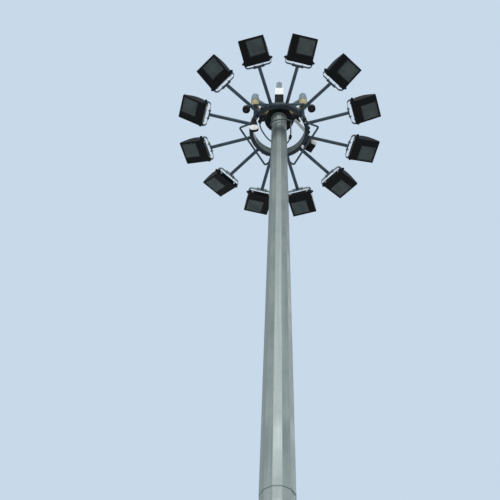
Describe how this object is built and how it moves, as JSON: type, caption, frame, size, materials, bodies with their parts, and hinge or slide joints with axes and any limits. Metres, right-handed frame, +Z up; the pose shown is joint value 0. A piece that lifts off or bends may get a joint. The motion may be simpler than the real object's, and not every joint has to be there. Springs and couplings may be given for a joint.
{
  "type": "high-mast light pole, twelve-sided",
  "caption": "Tall tapered twelve-sided light pole with a ring of tilting floodlights that is lowered along the shaft, a fixed docking head and a beacon on top.",
  "frame": {"origin": "middle of the base flange's underside", "axes": "+Z up along the mast's axis; -Y is the side of the service door, which the picture's view looks from"},
  "size_m": [2.5434, 2.5434, 14.064],
  "materials": {
    "galvanised_shaft": "weathered hot-dip galvanised",
    "dark_galvanised": "dull dark galvanised",
    "yellow_enamel": "faded yellow enamel",
    "grey_enamel": "grey enamel",
    "smoked_dome": "smoky translucent",
    "black_rubber": "matte",
    "black_cast_aluminium": "black powder coat",
    "lamp_glass": "clear toughened",
    "white_plastic": "glossy",
    "black_plastic": "matte",
    "cable_sheath": "matte"
  },
  "bodies": {
    "mast": {"base_flange": "galvanised_shaft", "base_gussets": "galvanised_shaft", "mast_lower": "galvanised_shaft", "mast_upper": "galvanised_shaft", "door_frame": "galvanised_shaft", "service_door": "galvanised_shaft", "head_plate": "dark_galvanised", "head_hub": "dark_galvanised", "dock_arms": "grey_enamel", "dock_cylinders": "yellow_enamel", "dock_domes": "smoked_dome", "dock_forks": "yellow_enamel", "dock_buffers": "black_rubber", "beacon_base": "black_cast_aluminium", "beacon_collar": "white_plastic", "beacon_dome": "smoked_dome", "cable_clamps": "black_plastic", "supply_cable": "cable_sheath", "head_cable": "cable_sheath"},
    "carriage": {"ring_segment_1": "dark_galvanised", "ring_segment_2": "dark_galvanised", "ring_segment_3": "dark_galvanised", "lamp_arms_1": "dark_galvanised", "lamp_arms_2": "dark_galvanised", "lamp_arms_3": "dark_galvanised", "lamp_yokes_1": "dark_galvanised", "lamp_yokes_2": "dark_galvanised", "lamp_yokes_3": "dark_galvanised", "guard_bars": "dark_galvanised", "docking_pins": "dark_galvanised", "cable_socket": "black_plastic", "socket_flange": "white_plastic", "junction_box": "black_cast_aluminium", "box_cover": "white_plastic"},
    "flood_01": {"flood_housing_01": "black_cast_aluminium", "flood_glass_01": "lamp_glass"},
    "flood_02": {"flood_housing_02": "black_cast_aluminium", "flood_glass_02": "lamp_glass"},
    "flood_03": {"flood_housing_03": "black_cast_aluminium", "flood_glass_03": "lamp_glass"},
    "flood_04": {"flood_housing_04": "black_cast_aluminium", "flood_glass_04": "lamp_glass"},
    "flood_05": {"flood_housing_05": "black_cast_aluminium", "flood_glass_05": "lamp_glass"},
    "flood_06": {"flood_housing_06": "black_cast_aluminium", "flood_glass_06": "lamp_glass"},
    "flood_07": {"flood_housing_07": "black_cast_aluminium", "flood_glass_07": "lamp_glass"},
    "flood_08": {"flood_housing_08": "black_cast_aluminium", "flood_glass_08": "lamp_glass"},
    "flood_09": {"flood_housing_09": "black_cast_aluminium", "flood_glass_09": "lamp_glass"},
    "flood_10": {"flood_housing_10": "black_cast_aluminium", "flood_glass_10": "lamp_glass"},
    "flood_11": {"flood_housing_11": "black_cast_aluminium", "flood_glass_11": "lamp_glass"},
    "flood_12": {"flood_housing_12": "black_cast_aluminium", "flood_glass_12": "lamp_glass"}
  },
  "joints": [
    {"name": "carriage_lift", "type": "slide", "parent": "mast", "child": "carriage", "axis": [0, 0, 1], "range_m": [-11.2, 0]},
    {"name": "flood_tilt_01", "type": "hinge", "parent": "carriage", "child": "flood_01", "pos_m": [-0.25364, -0.94661, 12.7], "axis": [-0.9659, 0.2588, 0], "range_deg": [-27, 48]},
    {"name": "flood_tilt_02", "type": "hinge", "parent": "carriage", "child": "flood_02", "pos_m": [0.25364, -0.94661, 12.7], "axis": [-0.9659, -0.2588, 0], "range_deg": [-35, 40]},
    {"name": "flood_tilt_03", "type": "hinge", "parent": "carriage", "child": "flood_03", "pos_m": [0.69297, -0.69297, 12.7], "axis": [-0.7071, -0.7071, 0], "range_deg": [-31, 44]},
    {"name": "flood_tilt_04", "type": "hinge", "parent": "carriage", "child": "flood_04", "pos_m": [0.94661, -0.25364, 12.7], "axis": [-0.2588, -0.9659, 0], "range_deg": [-24, 51]},
    {"name": "flood_tilt_05", "type": "hinge", "parent": "carriage", "child": "flood_05", "pos_m": [0.94661, 0.25364, 12.7], "axis": [0.2588, -0.9659, 0], "range_deg": [-23, 52]},
    {"name": "flood_tilt_06", "type": "hinge", "parent": "carriage", "child": "flood_06", "pos_m": [0.69297, 0.69297, 12.7], "axis": [0.7071, -0.7071, 0], "range_deg": [-23, 52]},
    {"name": "flood_tilt_07", "type": "hinge", "parent": "carriage", "child": "flood_07", "pos_m": [0.25364, 0.94661, 12.7], "axis": [0.9659, -0.2588, 0], "range_deg": [-17, 58]},
    {"name": "flood_tilt_08", "type": "hinge", "parent": "carriage", "child": "flood_08", "pos_m": [-0.25364, 0.94661, 12.7], "axis": [0.9659, 0.2588, 0], "range_deg": [-27, 48]},
    {"name": "flood_tilt_09", "type": "hinge", "parent": "carriage", "child": "flood_09", "pos_m": [-0.69297, 0.69297, 12.7], "axis": [0.7071, 0.7071, 0], "range_deg": [-36, 39]},
    {"name": "flood_tilt_10", "type": "hinge", "parent": "carriage", "child": "flood_10", "pos_m": [-0.94661, 0.25364, 12.7], "axis": [0.2588, 0.9659, 0], "range_deg": [-28, 47]},
    {"name": "flood_tilt_11", "type": "hinge", "parent": "carriage", "child": "flood_11", "pos_m": [-0.94661, -0.25364, 12.7], "axis": [-0.2588, 0.9659, 0], "range_deg": [-37, 38]},
    {"name": "flood_tilt_12", "type": "hinge", "parent": "carriage", "child": "flood_12", "pos_m": [-0.69297, -0.69297, 12.7], "axis": [-0.7071, 0.7071, 0], "range_deg": [-40, 35]}
  ]
}
